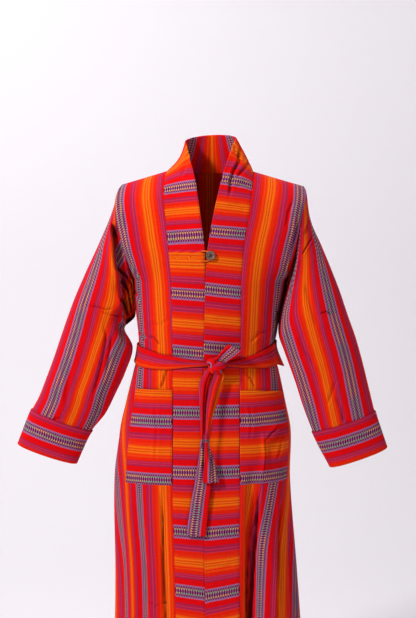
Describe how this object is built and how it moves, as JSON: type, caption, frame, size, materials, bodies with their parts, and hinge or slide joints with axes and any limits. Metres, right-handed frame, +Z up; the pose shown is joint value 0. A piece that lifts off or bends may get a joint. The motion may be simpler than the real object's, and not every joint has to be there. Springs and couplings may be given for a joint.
{
  "type": "cotton kimono robe",
  "caption": "Striped cotton kimono robe in its hollow worn form, with a front band that becomes the collar, turned cuffs, patch pockets, a tied belt and a button with its loop.",
  "frame": {"origin": "midway between the shoulders, level with the two neck points where the band meets the shoulder seams", "axes": "+X towards the wearer's left, -Y towards the front opening, +Z up towards the collar"},
  "size_m": [0.8332, 0.284, 1.3008],
  "materials": {
    "striped_cloth": "plain-woven cotton with lengthwise red, orange, purple and patterned stripes, matt",
    "band_cloth": "the same cotton cut crosswise, doubled, matt",
    "belt_cloth": "the same cotton sewn into a doubled belt, matt",
    "loop_cloth": "narrow turned cotton loop, matt",
    "button_shell": "dark polished coconut shell"
  },
  "bodies": {
    "root": {"back": "striped_cloth", "front_left": "striped_cloth", "front_right": "striped_cloth", "band_left": "band_cloth", "band_right": "band_cloth", "sleeve_left": "striped_cloth", "sleeve_right": "striped_cloth", "cuff_left": "band_cloth", "cuff_right": "band_cloth", "pocket_left": "band_cloth", "pocket_right": "band_cloth", "belt_waist": "belt_cloth", "belt_knot": "belt_cloth", "belt_bow": "belt_cloth", "belt_tail_long": "belt_cloth", "belt_tail_short": "belt_cloth", "button": "button_shell", "button_loop": "loop_cloth"}
  },
  "joints": []
}
